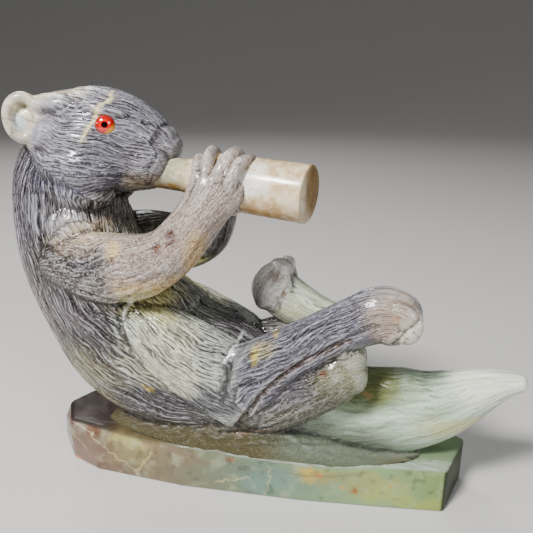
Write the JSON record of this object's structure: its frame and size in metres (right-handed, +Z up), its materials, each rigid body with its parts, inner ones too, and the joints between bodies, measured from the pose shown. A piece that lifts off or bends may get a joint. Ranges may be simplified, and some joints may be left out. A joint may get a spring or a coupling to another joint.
{
  "type": "stone animal carving",
  "caption": "Stone otter carved in one piece with its slab base, leaning back on its rump and drinking from a bottle held in its forepaws, with glass eyes.",
  "frame": {"origin": "middle of the slab's flat underside", "axes": "+Z up; +X along the slab, the way the otter faces; +Y towards the otter's left side"},
  "size_m": [0.1475, 0.0426, 0.1135],
  "materials": {
    "stone": "brushed and polished",
    "glass": "gloss"
  },
  "bodies": {
    "root": {"otter_carving": "stone", "eye_right": "glass", "eye_left": "glass"}
  },
  "joints": []
}
